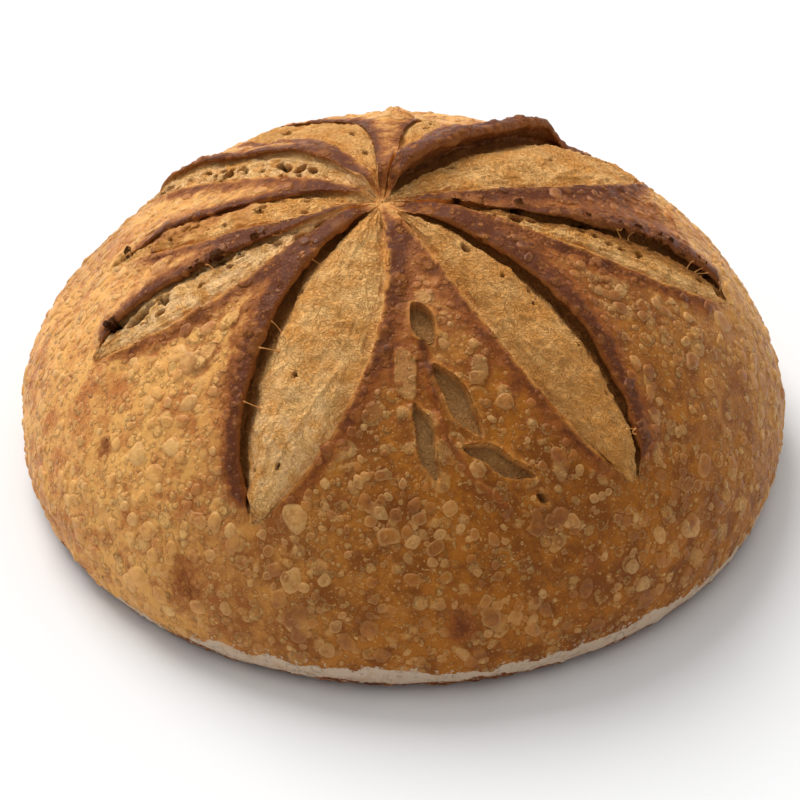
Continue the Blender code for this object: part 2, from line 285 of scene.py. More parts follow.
def reach_of(azimuth):
    """Distance on the plan from the star's centre to the base's edge."""
    turn = np.radians(azimuth)
    b = STAR_CENTRE[0] * np.cos(turn) + STAR_CENTRE[1] * np.sin(turn)
    return -b + np.sqrt(b * b - (STAR_CENTRE[0] ** 2 + STAR_CENTRE[1] ** 2 - EDGE * EDGE))


def turn_between(start, end):
    """The turn from one azimuth to another, from -180 to 180."""
    return (end - start + 180.0) % 360.0 - 180.0


def strips():
    """How many strips of points each cut and each strap of crust between two cuts has."""
    in_cuts, in_straps = [], []
    for index, cut in enumerate(CUTS):
        following = CUTS[(index + 1) % len(CUTS)]
        in_cuts.append(int((cut.width + 2 * cut.depth + 6.0) / CUT_STEP))
        gap = (following.azimuth - cut.azimuth) % 360.0
        free = math.radians(gap) * STRAP_DISTANCE - 0.6 * (cut.width + following.width) / 2
        in_straps.append(int(free / COLUMN_STEP))
    return in_cuts, in_straps


CUT_STRIPS, STRAP_STRIPS = strips()
COLUMNS = sum(CUT_STRIPS) + sum(STRAP_STRIPS)


def open_cuts(fractions):
    """For each ring and cut: distance, width, strength and the azimuths of the edges."""
    rho = np.maximum(fractions[:, None] * reach_of(ALL.azimuth), 0.3)
    part = np.clip((rho - ALL.root) / (ALL.length - ALL.root), 1e-6, 1 - 1e-6)
    shape = ((part / ALL.fullest) ** (ALL.sharpness * ALL.fullest)
             * ((1 - part) / (1 - ALL.fullest)) ** (ALL.sharpness * (1 - ALL.fullest)))
    inside = (rho > ALL.root) & (rho < ALL.length)
    gap = np.where(inside, ALL.width * shape, 0.0)
    bend = np.where(inside, ALL.bow * np.sin(np.pi * part), 0.0)
    ends = smooth(np.minimum(rho - ALL.root, ALL.length - rho) / END_SLOPE)
    power = ends * np.minimum(1.0, gap / 10.0)
    group = np.hypot(gap, MIN_WIDTH * np.minimum(1.0, rho / 30.0))
    even = 0.5 * np.array(CUT_STRIPS) * 360.0 / COLUMNS
    spread = smooth((rho - ALL.length) / TIP_FLARE)
    half = np.degrees(group / 2 / rho)
    half = half + (even - half) * spread
    middle = ALL.azimuth + ALL.ear * np.degrees(bend / rho)
    low, high = middle - half, middle + half
    for index in range(len(CUTS)):
        after = (index + 1) % len(CUTS)
        short = np.maximum(0.0, LEAST_STRAP - turn_between(high[:, index], low[:, after])) / 2
        high[:, index] -= short
        low[:, after] += short
    stand = 1 - ALL.droop * smooth((part - 0.62) / 0.24)
    return SimpleNamespace(rho=rho, gap=gap, power=power, low=low, high=high, stand=stand)


def wander(rho, size, seed):
    """Slow noise along a cut."""
    spot = np.stack([rho, np.full_like(rho, seed * 7.7), np.zeros_like(rho)], -1)
    return noise(spot, size, seed)


def vary_cuts(opened):
    """Uneven lift, reach, depth, swell and lip along every cut."""
    rho = opened.rho
    for name, size, share, seed in UNEVEN:
        vary = np.stack([share * wander(rho[:, i], size, 11 * i + seed)
                         + 0.4 * share * wander(rho[:, i], size / 4, 13 * i + seed)
                         for i in range(len(CUTS))], 1)
        setattr(opened, name, getattr(ALL, name, 1.0) * (1 + vary))
    opened.lift *= opened.stand
    opened.depth *= HOLLOW
    tear = rho[:, HALF_CLOSED]
    middle = smooth((tear - 34) / 8) * smooth((80 - tear) / 6)
    opened.depth[:, HALF_CLOSED] *= 1 - 0.85 * middle
    opened.depth[:, HALF_CLOSED] *= 1 + 0.9 * smooth((tear - 80) / 5)
    opened.swell[:, HALF_CLOSED] += 1.2 * middle


def one_cut(opened, index):
    """What is known of one cut, ring by ring, and the azimuths of its ear's and plain edges."""
    one = SimpleNamespace(**{name: values[:, index] for name, values in vars(opened).items()})
    one.edges = (one.high, one.low) if CUTS[index].ear > 0 else (one.low, one.high)
    return one


def beside_cuts(opened, rho, azimuth):
    """Rise of the crust near the cuts, how hard it is baked there, and its torn edge."""
    rise, bake, torn = (np.zeros_like(azimuth) for _ in range(3))
    for index, cut in enumerate(CUTS):
        one = one_cut(opened, index)
        power, lift, ear_edge, plain_edge = (row[:, None] for row in (one.power, one.lift) + one.edges)
        away = np.radians(turn_between(ear_edge, azimuth) * cut.ear) * rho
        near = (away > -0.05) & (away < 6 * EAR_SPREAD)
        rise += np.where(near, lift * power * bell(away, EAR_SPREAD), 0)
        baked = (0.22 + 0.38 * cut.lip) * bell(away, 4.0 + 3.6 * cut.lip)
        baked += (0.30 + 0.34 * cut.lip) * bell(away, 1.4 + 1.1 * cut.lip)
        bake += np.where(near, power * baked, 0)
        away = -np.radians(turn_between(plain_edge, azimuth) * cut.ear) * rho
        near = (away > -0.05) & (away < 6 * PLAIN_SPREAD)
        rise += np.where(near, PLAIN_LIP * power * bell(away, PLAIN_SPREAD), 0)
        bake += np.where(near, power * 0.75 * bell(away - 2.0, 4.5), 0)
        torn = np.maximum(torn, np.where(near, power * bell(away, 0.8), 0))
    distance, turn, peak = CREST
    aside = np.radians(turn_between(turn, azimuth)) * rho
    rise += peak * bell(rho - distance, 9.0) * bell(aside, 5.0)
    return rise, bake, torn


def spline_basis(count, finer):
    """Weights that turn control values into points of a Catmull-Rom curve through them."""
    rows = []
    for step in range((count - 1) * finer + 1):
        index = min(step // finer, count - 2)
        u = step / finer - index
        weights = np.zeros(count + 2)
        weights[index:index + 4] += [(-u + 2 * u * u - u ** 3) / 2, (2 - 5 * u * u + 3 * u ** 3) / 2,
                                     (u + 4 * u * u - 3 * u ** 3) / 2, (-u * u + u ** 3) / 2]
        row = weights[1:-1].copy()
        row[0] += weights[0]
        row[-1] += weights[-1]
        rows.append(row)
    return np.array(rows)


# Each point of a section, from the ear's lip to the other edge: crumb or crust, how hard it
# is baked (on the crumb in the hollow under the ear, painted shade), how open it lies where the
# crumb is flush with the ear, how toasted the crumb is (on the crust: how near it is to a torn
# edge), where the lip's face shows (partly painted shade under the lip), and how far up the ear
# the crumb reaches where the two are flush.
SECTION_CRUMB, SECTION_BAKE, SECTION_OPEN, SECTION_TOAST, SECTION_FACE, SECTION_SLOPE = np.array([
    [0, 0, 0.3, 1, 1, 1, 1, 1, 1, 1, 1, 1, 1, 0],
    [1.1, 1.1, 1, 1, 1, 0.95, 0.85, 0.5, 0.15, 0, 0, 0, 0.1, 0.3],
    [0, 0, 0, 0, 0.1, 0.3, 0.6, 0.9, 1, 1, 1, 1, 1, 0],
    [0, 0, 0.3, 0.8, 0.5, 0.2, 0, 0.1, 0.35, 0.7, 0.9, 0.8, 0.9, 1],
    [0.1, 0.9, 1, 0.9, 0.5, 0, 0, 0, 0, 0, 0, 0, 0, 0],
    [0, 0, 0, 0, 0.84, 0.80, 0.72, 0.60, 0.46, 0.24, 0.08, 0, 0, 0],
])


def section(cut, one, ends):
    """Control points across a cut for every ring: from the ear's lip to the other edge."""
    power = one.power
    width = np.radians(one.high - one.low) * one.rho
    depth = one.depth * power * (1 - 0.6 * cut.flush)
    reach = one.reach * power * (1 - 0.7 * cut.flush)
    swell = one.swell * power
    lip = cut.lip * power * np.minimum(1.0, width / 14.0) * one.thick
    ear_h, plain_h = ends
    side = np.minimum(1.2, 0.08 * width)
    across = np.stack([
        0 * lip, 0.45 * lip, 0.7 * lip, 0.3 * lip, -0.6 * reach, -1.0 * reach,
        -0.2 * reach, 0.09 * width, 0.18 * width, 0.35 * width, 0.57 * width, 0.79 * width,
        width - side, width], 1)
    height = np.stack([
        ear_h, ear_h - 0.2 * lip, ear_h - 0.9 * lip, ear_h - 1.6 * lip, -0.2 * depth, -0.65 * depth,
        -1.0 * depth, -0.7 * depth, 0.5 * swell - 0.25 * depth, 0.95 * swell, swell, 0.75 * swell,
        -0.4 * power, plain_h], 1)
    height = height + cut.flush * ear_h[:, None] * SECTION_SLOPE
    return across, height, width


def across_cut(cut, one, ends, basis, count):
    """Every ring's points across one cut, evenly spaced along the section."""
    across, height, width = section(cut, one, ends)
    baked = SECTION_BAKE * (1 - 0.8 * cut.flush * SECTION_OPEN)
    channels = [basis @ table for table in (SECTION_CRUMB, baked, SECTION_TOAST, SECTION_FACE)]
    fine_x, fine_h = across @ basis.T, height @ basis.T
    run = np.hypot(np.diff(fine_x, axis=1), np.diff(fine_h, axis=1))
    run = np.concatenate([np.zeros((len(run), 1)), np.cumsum(run, 1)], 1)
    spaced = np.zeros((6, len(run), count))
    for ring, passed in enumerate(run):
        wanted = np.linspace(0, passed[-1], count)
        for row, values in enumerate([fine_x[ring], fine_h[ring]] + channels):
            spaced[row, ring] = np.interp(wanted, passed, values)
    x, rise, crumb, bake, toast, face = spaced
    width, gap, power, rho, edge = (row[:, None] for row in (
        width, one.gap, one.power, one.rho, one.edges[0]))
    share = np.clip(x / np.maximum(width, 0.1), 0, 1)
    spare = (width - gap) / 2
    shown = smooth((gap - 0.6) / 1.2) * smooth((x - spare + 3.0) / 0.8)
    shown = shown * smooth((width - spare - x + 0.8) / 0.8)
    face = face * power * np.clip((cut.lip - 0.9) / 0.4, 0.0, 1.0)
    azimuth = edge - cut.ear * np.degrees(x / rho)
    layers = np.stack([azimuth, rise, crumb * shown, bake * power, toast * power, face, share])
    return layers[:, :, ::-1] if cut.ear > 0 else layers


def skin_layers():
    """Azimuth, rise and colouring of every point of the skin, and each column's region."""
    count = int(EDGE / RING_STEP)
    fractions = np.concatenate([[0.0015], np.linspace(0, 1, count + 1)[1:]])
    opened = open_cuts(fractions)
    vary_cuts(opened)
    basis = spline_basis(len(SECTION_CRUMB), 8)
    blocks, region = [], []
    for index, cut in enumerate(CUTS):
        one = one_cut(opened, index)
        ends = beside_cuts(opened, one.rho[:, None], np.stack(one.edges, 1))[0].T
        blocks.append(across_cut(cut, one, ends, basis, CUT_STRIPS[index] + 1))
        region += [index] * blocks[-1].shape[2]
        free = turn_between(one.high, opened.low[:, (index + 1) % len(CUTS)])
        part = np.arange(1, STRAP_STRIPS[index])[None, :] / STRAP_STRIPS[index]
        azimuth = one.high[:, None] + free[:, None] * part
        rise, bake, torn = beside_cuts(opened, fractions[:, None] * reach_of(azimuth), azimuth)
        blank = np.zeros_like(azimuth)
        blocks.append(np.stack([azimuth, rise, blank, bake, torn, blank, blank], 0))
        region += [-1] * azimuth.shape[1]
    return fractions, np.concatenate(blocks, 2), np.array(region)


# ---------------------------------------------------------------- marks on the skin

def ovals(x, y, shapes, blunt, edge):
    """How deep inside one of some ovals each place on the plan is, and the rim round them."""
    inside = np.zeros_like(x)
    rim = np.zeros_like(x)
    for middle_x, middle_y, length, width, azimuth in shapes:
        along, across = turned(x - middle_x, y - middle_y, math.radians(azimuth))
        across = across + 0.6 * np.sin(along * 0.4)
        part = np.clip(2 * np.abs(along) / length, 0, 1)
        half = width / 2 * (1 - part ** 2) ** blunt
        beyond = np.maximum(np.abs(along) - length / 2, 0)
        away = np.hypot(np.maximum(np.abs(across) - half, 0), beyond)
        deep = np.where(beyond > 0, 0, smooth((half - np.abs(across)) / edge))
        inside = np.maximum(inside, deep)
        rim = np.maximum(rim, bell(away, 1.5) * (1 - deep))
    return inside, rim


def stem_mark(x, y):
    """Nearness to the wheat's stem, a rough ridge between the leaves."""
    away = np.full_like(x, 99.0)
    for (ax, ay), (bx, by) in zip(STEM[:-1], STEM[1:]):
        span = (bx - ax) ** 2 + (by - ay) ** 2
        t = np.clip(((x - ax) * (bx - ax) + (y - ay) * (by - ay)) / span, 0, 1)
        away = np.minimum(away, np.hypot(x - ax - t * (bx - ax), y - ay - t * (by - ay)))
    return bell(away, 1.5)


def pit_marks(x, y, crumb, region):
    """Open pores in the crumb under the ears, as a depth from 0 to 1."""
    pits = np.zeros_like(x)
    for index, (cut, count) in enumerate(zip(CUTS, PITS_PER_CUT)):
        columns = np.nonzero(region == index)[0]
        here = slice(columns[0], columns[-1] + 1)
        near_x, near_y, patch = x[:, here], y[:, here], pits[:, here]
        rings, wide = patch.shape
        nearest = 0.5 if cut.width < 12.0 else 0.3      # to the ear, as a share of the width
        for _ in range(count):
            rho = rng.uniform(cut.root + 0.15 * (cut.length - cut.root), cut.length - 4)
            at = nearest + 0.42 * rng.uniform() ** 1.7
            row = min(int(rho / RING_STEP), rings - 1)
            column = int(at * wide)
            column = wide - 1 - column if cut.ear > 0 else column
            if crumb[row, here][column] < 0.7:
                continue
            size = rng.uniform(0.35, 0.8) * (1.7 if rng.uniform() < 0.15 else 1.0)
            along, aside = turned(near_x - near_x[row, column], near_y - near_y[row, column],
                                  math.radians(cut.azimuth + rng.uniform(-20, 20)))
            away = np.hypot(along / (size * rng.uniform(1.1, 2.2)), aside / size)
            np.maximum(patch, smooth((1.15 - away) / 0.45), out=patch)
    return pits * crumb


# ---------------------------------------------------------------- the skin

def spans(points):
    """Steps down and around a sheet whose columns close into a ring."""
    return np.gradient(points, axis=0), (np.roll(points, -1, 1) - np.roll(points, 1, 1)) / 2


def normals_of(points):
    """Outward normals of such a sheet."""
    return unit(np.cross(*spans(points)))


def crust_bubbles(points):
    """Height of the bubbles in the crust itself: flat-topped large ones among small ones."""
    skewed = pushed(points, 0.5, 2.5, 24)
    large = bubbled(skewed, 6.5, 110, 0.5) * smooth(0.4 + 1.4 * noise(points, 17.0, 28))
    small = bubbled(skewed, 3.4, 120, 0.7) * smooth(0.7 + 1.4 * noise(points, 13.0, 29))
    return np.maximum(np.minimum(0.26 * large, 0.50), np.minimum(0.30 * small, 0.34))


def crust_relief(at):
    """Grain, bubbles, the wheat's leaves and stem, flakes, and roughness where it is baked."""
    rough = at.stem * (1 - at.leaf) * (1.5 + 1.3 * noise(at.points, 2.8, 26))
    marks = 0.9 * at.leaf_rim - LEAF_DEPTH * at.leaf + rough + 0.75 * at.flake
    baked = smooth(at.bake / 0.6) * 0.30 * noise(at.points, 2.4, 27)
    return at.crust * (layered(at.points, CRUST_GRAIN) + 1.1 * at.bubble + marks + baked)


def crumb_relief(at):
    """A net of cells, lumps, folds along the cut, and ragged crumb where a cut is half closed."""
    near, second = cells(pushed(at.points, 1.2, 3.0, 31), 2.6, 40)
    net = 1 - smooth((second - near) / 0.5)
    along = np.stack([at.across * 14.0, at.rho / 9.0, np.zeros_like(at.rho)], -1)
    folds = 1 - np.abs(noise(along, 1.0, 65))
    ragged = at.tear * 0.9 * noise(at.points, 4.5, 66)
    return at.crumb * (0.22 * net + layered(at.points, CRUMB_GRAIN)
                       + 0.5 * smooth((folds - 0.78) / 0.22) - 0.2 + ragged)


def flouring(at):
    """The floured rim at the base, and where the bare edge under it ends."""
    turn = np.radians(at.azimuth)
    around = np.stack([np.cos(turn), np.sin(turn), np.zeros_like(turn)], -1) * 120
    height = at.points[..., 2]
    line = FLOUR_LINE + 2.2 * noise(around, 24.0, 70) + 2.0 * noise(at.points, 5.0, 71)
    line -= 5.5 * smooth((np.cos(turn - math.radians(190.0)) - 0.45) / 0.4)
    above = height - line
    flour = np.maximum(smooth(0.5 - above / 0.9), 0.46 * np.exp(-np.maximum(above, 0) / 5.0))
    streak = smooth((height - 4.0 - 2.4 * noise(at.points, 7.0, 72)) / 1.2)
    return flour * (0.4 + 0.6 * streak), streak


def baking(at, torn):
    """How hard the crust and the crumb are baked, with painted shade on the crumb in the hollows under the
    ears.
    """
    bake = (at.bake + 0.20 * at.leaf_rim + 0.55 * at.stem + 0.3 * at.flake_rim + 0.68 * at.spots
            + 0.55 * torn * at.crumb)
    # Painted shade on the crumb under the ears: the right cut's, and beside the raised ears.
    hollow = (at.region == RIGHT) * (1 - smooth((at.across - 0.34) / 0.2))
    raised = np.append(ALL.flush < 0.5, False)[at.region] * (1 - smooth(at.across / 0.2))
    bake = bake + at.crumb * (0.6 * hollow + 0.4 * raised)
    for middle, wide, darker, end in STRAP_BAKE:
        beside = bell(turn_between(middle, at.azimuth), wide)
        bake = bake + at.crust * darker * beside * smooth((end - at.rho) / 55)
    return bake


def front_shade_and_deepening(at):
    """Where the crust is deeper in colour: in front, painted shade on the side turned away from the suns
    together with a deeper bake there, and low down behind.
    """
    front, behind = (np.cos(np.radians(at.azimuth) - math.radians(azimuth)) for azimuth in (300.0, 105.0))
    return np.maximum(smooth((front - 0.10) / 0.87) * smooth((at.rho - 15) / 60),
                      0.6 * smooth((behind - 0.4) / 0.4) * smooth((at.rho - 90) / 35))


def colouring(at):
    """The fields that the skin's material reads, a value for each point."""
    torn = at.tear * smooth((noise(at.points, 7.0, 67) + 0.5) / 0.4)
    pale = (at.region == FRONT_LEFT) * smooth((at.rho - 45) / 40)
    paler = (at.region == RIGHT) * smooth((at.across - 0.4) / 0.25)
    flour, streak = flouring(at)
    return {"crumb": np.maximum(at.crumb * (1 - 0.8 * torn), at.leaf),
            "bake": baking(at, torn) + 0.8 * (1 - streak),
            "toast": np.maximum(at.toast * (1 - 0.8 * pale), 0.7 * at.leaf_rim * at.crust),
            "face": at.face, "leaf": at.leaf, "pit": at.pits,
            "tone": at.crumb * (CRUMB_TONE[at.region] - 0.6 * pale - paler),
            "bubble": at.crust * np.maximum(at.bubble / 0.34, at.flake),
            "deep": front_shade_and_deepening(at), "flour": flour}


def skin():
    """The loaf's whole skin above its base: points, normals and colouring."""
    fractions, layers, region = skin_layers()
    at = SimpleNamespace(region=region)
    at.azimuth, at.rise, at.crumb, at.bake, at.toast, at.face, at.across = layers
    at.crust = 1 - at.crumb
    at.rho = fractions[:, None] * reach_of(at.azimuth)
    x = STAR_CENTRE[0] + at.rho * np.cos(np.radians(at.azimuth))
    y = STAR_CENTRE[1] + at.rho * np.sin(np.radians(at.azimuth))
    at.leaf, at.leaf_rim = ovals(x, y, LEAVES, 0.8, 0.5)
    at.flake, at.flake_rim = ovals(x, y, FLAKES, 0.45, 0.8)
    at.pits = np.maximum(pit_marks(x, y, at.crumb, region), ovals(x, y, HOLES, 0.6, 0.7)[0])
    at.stem = stem_mark(x, y)
    at.spots = sum(bell(np.hypot(x - a, y - b), size) for a, b, size in SPOTS)
    at.tear = smooth((at.rho - 36) / 8) * smooth((84 - at.rho) / 8) * (region == HALF_CLOSED)
    plain, out = dome(x, y)
    settle = smooth(plain[..., 2:3] / 12.0)
    at.points = plain + out * at.rise[..., None] + out * (layered(plain, LUMPS)[..., None] * settle)
    at.bubble = crust_bubbles(at.points)
    relief = crust_relief(at) + crumb_relief(at) - PIT_DEPTH * at.pits
    at.points = at.points + normals_of(at.points) * relief[..., None]
    at.points[..., 2] = np.maximum(at.points[..., 2], 0.0)
    ends = np.append(ALL.length + 5.0, 0.0)
    return {"points": at.points, "normals": normals_of(at.points), "fields": colouring(at),
            "region": region, "across": at.across, "closed": at.rho > ends[region],
            "rings": len(at.points)}


def underside(sheet):
    """Adds the flat base's rings to the sheet, down to a point in its middle."""
    rim = sheet["points"][-1]
    shares = np.linspace(1, 0, UNDER_RINGS + 1)[1:]
    shares[-1] = 0.002
    rings = np.stack([rim * [share, share, 0] for share in shares])
    dents = 0.25 * (1 + noise(rings + [0, 0, 50], 9.0, 80))
    rings[..., 2] = dents * smooth((1 - shares) * 12)[:, None]
    down = np.zeros_like(rings)
    down[..., 2] = -1
    sheet["points"] = np.concatenate([sheet["points"], rings])
    sheet["normals"] = np.concatenate([sheet["normals"], down])
    for name, field in sheet["fields"].items():
        value = 1.0 if name == "flour" else 0.0
        sheet["fields"][name] = np.concatenate([field, np.full(rings.shape[:2], value)])
    return sheet


# ---------------------------------------------------------------- meshes

def add(name, data):
    """An object in the scene."""
    thing = bpy.data.objects.new(name, data)
    bpy.context.scene.collection.objects.link(thing)
    return thing


def make_mesh(name, points, faces, normals, fields, material):
    """A piece of the loaf: triangles or quads, shaded smooth, with an attribute per field."""
    mesh = bpy.data.meshes.new(name)
    mesh.vertices.add(len(points))
    mesh.vertices.foreach_set("co", (np.asarray(points) * MM).astype(np.float32).ravel())
    faces = np.asarray(faces, np.int32)
    sides = faces.shape[1]
    mesh.loops.add(faces.size)
    mesh.loops.foreach_set("vertex_index", faces.ravel())
    mesh.polygons.add(len(faces))
    mesh.polygons.foreach_set("loop_start", np.arange(0, faces.size, sides, dtype=np.int32))
    mesh.update(calc_edges=True)
    mesh.validate()
    for field, values in fields.items():
        attribute = mesh.attributes.new(field, "FLOAT", "POINT")
        attribute.data.foreach_set("value", np.asarray(values, np.float32).ravel())
    mesh.materials.append(material)
    mesh.shade_smooth()
    if normals is not None:
        mesh.normals_split_custom_set_from_vertices(np.asarray(normals, np.float32))
    thing = add(name, mesh)
    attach(thing, "root")
    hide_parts("loaf")


def skin_pieces(sheet, material):
    """The skin as a few pieces side by side, each of whole columns."""
    points, normals = sheet["points"], sheet["normals"]
    rings, columns = points.shape[:2]
    names = ("right", "back_right", "back", "left", "front")
    borders = [round(columns * k / len(names)) for k in range(len(names) + 1)]
    for name, start, stop in zip(names, borders[:-1], borders[1:]):
        picked = np.arange(start, stop + 1) % columns
        index = np.arange(rings * len(picked)).reshape(rings, -1)
        faces = np.stack([index[:-1, :-1], index[1:, :-1], index[1:, 1:], index[:-1, 1:]], -1)
        fields = {key: field[:, picked] for key, field in sheet["fields"].items()}
        make_mesh("loaf_" + name, points[:, picked].reshape(-1, 3), faces.reshape(-1, 4),
                  normals[:, picked].reshape(-1, 3), fields, material)


# ---------------------------------------------------------------- blisters

def sample(sheet, name, ring, column):
    """A value of the skin between its points."""
    field = sheet[name] if name in sheet else sheet["fields"][name]
    rows, columns = field.shape[:2]
    ring = np.clip(ring, 0, rows - 1.001)
    r0 = np.floor(ring).astype(int)
    c0 = np.floor(column).astype(int)
    fr, fc = ring - r0, column - c0
    if field.ndim == 3:
        fr, fc = fr[..., None], fc[..., None]
    c0, c1 = c0 % columns, (c0 + 1) % columns
    return ((field[r0, c0] * (1 - fc) + field[r0, c1] * fc) * (1 - fr)
            + (field[r0 + 1, c0] * (1 - fc) + field[r0 + 1, c1] * fc) * fr)


def blister_spots(sheet, kind):
    """Random places on the crust, even by area, and a radius for each."""
    rings = sheet["rings"]
    points = sheet["points"][:rings]
    fields = sheet["fields"]
    down, around = (np.linalg.norm(span, axis=-1) for span in spans(points))
    open_crust = ((fields["crumb"][:rings] < 0.05) & (fields["flour"][:rings] < 0.3)
                  & sheet["closed"][:rings])
    clump = 0.45 + smooth(0.5 + 1.6 * noise(points, 14.0, 90))
    weight = down * around * open_crust * clump
    weight[:BLISTER_START] = 0
    pick = rng.choice(weight.size, kind.count, p=(weight / weight.sum()).ravel(), replace=False)
    ring, column = np.unravel_index(pick, weight.shape)
    radius = kind.typical * np.exp(kind.spread * rng.standard_normal(kind.count))
    radius = np.clip(radius, kind.least, kind.most) * (1 - 0.35 * smooth(fields["bake"][ring, column] / 0.7))
    ring = ring + rng.uniform(-0.5, 0.5, kind.count)
    column = column + rng.uniform(-0.5, 0.5, kind.count)
    return ring, column, radius


def on_skin(sheet, ring, column, along, across, frames):
    """Places on the skin at true distances from others, found by a few corrections."""
    middle, ahead, aside, pace, gap = (values[:, None] for values in frames)
    r = ring[:, None] + along / pace
    c = column[:, None] + across / gap
    target = middle + ahead * along[..., None] + aside * across[..., None]
    for _ in range(3):
        miss = target - sample(sheet, "points", r, c)
        r = r + np.clip((miss * ahead).sum(-1) / pace, -2, 2)
        c = c + np.clip((miss * aside).sum(-1) / gap, -2, 2)
    miss = target - sample(sheet, "points", r, c)
    return r, c, np.hypot((miss * ahead).sum(-1), (miss * aside).sum(-1))


def local_frames(sheet, ring, column):
    """The skin's middle point, its two directions and its steps at places on it."""
    middle = sample(sheet, "points", ring, column)
    ahead = sample(sheet, "points", ring + 1.0, column) - sample(sheet, "points", ring - 1.0, column)
    pace = np.linalg.norm(ahead, axis=-1) / 2
    ahead = unit(ahead)
    aside = sample(sheet, "points", ring, column + 1.0) - sample(sheet, "points", ring, column - 1.0)
    aside = aside - ahead * (aside * ahead).sum(-1, keepdims=True)
    return middle, ahead, unit(aside), pace, np.linalg.norm(aside, axis=-1) / 2


def blister_faces(total, sides):
    """Triangles of many blisters: two bands of quads and a fan, for each."""
    k = np.arange(sides)
    after = (k + 1) % sides
    faces = []
    for outer, inner in ((0, sides), (sides, 2 * sides)):
        faces += [np.stack([outer + k, inner + after, inner + k], 1),
                  np.stack([outer + k, outer + after, inner + after], 1)]
    faces.append(np.stack([2 * sides + k, 2 * sides + after, np.full(sides, 3 * sides)], 1))
    one = np.concatenate(faces)[:, ::-1]
    per = 3 * sides + 1
    return (one[None] + per * np.arange(total)[:, None, None]).reshape(-1, 3)


def blisters(sheet, material, name, kind):
    """Domed bubbles of thin crust, each an uneven round of the skin under it."""
    ring, column, radius = blister_spots(sheet, kind)
    frames = local_frames(sheet, ring, column)
    column_of = (kind.count, 1)
    turn = np.linspace(0, 2 * np.pi, kind.sides, endpoint=False)
    wobble = sum(rng.uniform(0.0, 0.10, column_of) * np.cos(k * turn + rng.uniform(0, 6.28, column_of))
                 for k in (2, 3, 4))
    stretch = rng.uniform(0.82, 1.2, column_of)
    lean = rng.uniform(0, np.pi, column_of)
    outline = radius[:, None] * (1 + wobble)
    along, across = turned(outline * np.cos(turn - lean) * stretch,
                           outline * np.sin(turn - lean) / stretch, -lean)
    rise = np.clip(radius * rng.uniform(0.20, 0.42, kind.count), 0.14, kind.highest)[:, None]
    brink = rng.uniform(0.80, 0.93, column_of)
    crown = rng.uniform(0.48, 0.70, column_of)
    vertices, rim = [], []
    slip = 0.0
    for share, up, edge in ((1.0, -0.35, 1.0), (brink, 0.6, 0.85), (crown, 1.0, 0.25)):
        r, c, miss = on_skin(sheet, ring, column, share * along, share * across, frames)
        slip = np.maximum(slip, miss.max(1) / radius)
        vertices.append(sample(sheet, "points", r, c)
                        + sample(sheet, "normals", r, c) * (rise * up)[..., None])
        rim.append(np.full(along.shape, edge))
    sunk = rng.uniform(0, 1, column_of) < 0.3
    dip = rise * np.where(sunk, 0.15, rng.uniform(0.7, 1.15, column_of))
    vertices.append(sample(sheet, "points", ring[:, None], column[:, None])
                    + sample(sheet, "normals", ring[:, None], column[:, None]) * dip[..., None])
    rim.append(np.zeros(column_of))
    good = slip < 0.25
    stacked = np.concatenate(vertices, 1)[good]
    fields = {"rim": np.concatenate(rim, 1)[good]}
    for key, value in (("tint", rng.uniform(0, 1, kind.count)), ("bake", sample(sheet, "bake", ring, column)),
                       ("deep", sample(sheet, "deep", ring, column))):
        fields[key] = np.repeat(value[good][:, None], stacked.shape[1], 1)
    make_mesh(name, stacked.reshape(-1, 3), blister_faces(len(stacked), kind.sides), None,
              fields, material)


# ---------------------------------------------------------------- gluten strands

def strand_paths(sheet):
    """Curved paths from under each ear down onto the crumb beside it, and their radii."""
    paths, radii = [], []
    points, normals, across = sheet["points"], sheet["normals"], sheet["across"]
    t = np.linspace(0, 1, STRAND_STEPS)[:, None]
    for index, (cut, count) in enumerate(zip(CUTS, STRANDS_PER_CUT)):
        columns = np.nonzero(sheet["region"] == index)[0]
        clusters = rng.uniform(0.15, 0.95, 7)
        for _ in range(count):
            part = np.clip(rng.choice(clusters) + rng.normal(0, 0.04), 0.12, 0.96)
            row = int((cut.root + part * (cut.length - cut.root)) / RING_STEP)
            far = int(row + rng.normal(0, 2.5))
            if not STRAND_START < min(row, far) or max(row, far) > len(points) - STRAND_END:
                continue
            face = sheet["fields"]["face"][row, columns]
            if face.max() < 0.3:
                continue
            top = points[row, columns[int(face.argmax())]]
            at = rng.uniform(0.07, 0.17)
            order = np.argsort(np.abs(across[far, columns] - at))[:6]
            spot = columns[order[np.argmax(points[far, columns[order], 2])]]
            foot = points[far, spot] - normals[far, spot] * 0.2
            sag = rng.uniform(0.0, 1.1) * np.sin(np.pi * t) * normals[far, spot]
            bend = rng.normal(0, 0.25, 3) * np.sin(np.pi * t)
            paths.append(top + (foot - top) * t + sag + bend)
            radii.append(rng.uniform(0.08, 0.18) * (1 + 1.8 * np.abs(2 * t[:, 0] - 1) ** 3))
    return paths, radii


def strands(sheet, material):
    """The paths as thin tubes."""
    turn = np.linspace(0, 2 * np.pi, STRAND_SIDES, endpoint=False)[None, :, None]
    vertices, faces = [], []
    for number, (path, radius) in enumerate(zip(*strand_paths(sheet))):
        ahead = unit(np.gradient(path, axis=0))
        side = unit(np.cross(ahead, [0.3, 0.2, 0.93]))
        other = np.cross(ahead, side)
        ring = side[:, None] * np.cos(turn) + other[:, None] * np.sin(turn)
        vertices.append((path[:, None] + ring * radius[:, None, None]).reshape(-1, 3))
        start = number * STRAND_STEPS * STRAND_SIDES
        grid = start + np.arange(STRAND_STEPS * STRAND_SIDES).reshape(STRAND_STEPS, STRAND_SIDES)
        beside = np.roll(grid, -1, 1)
        faces.append(np.stack([grid[:-1], beside[:-1], beside[1:], grid[1:]], -1).reshape(-1, 4))
    make_mesh("gluten_strands", np.concatenate(vertices), np.concatenate(faces), None, {}, material)


# ---------------------------------------------------------------- materials

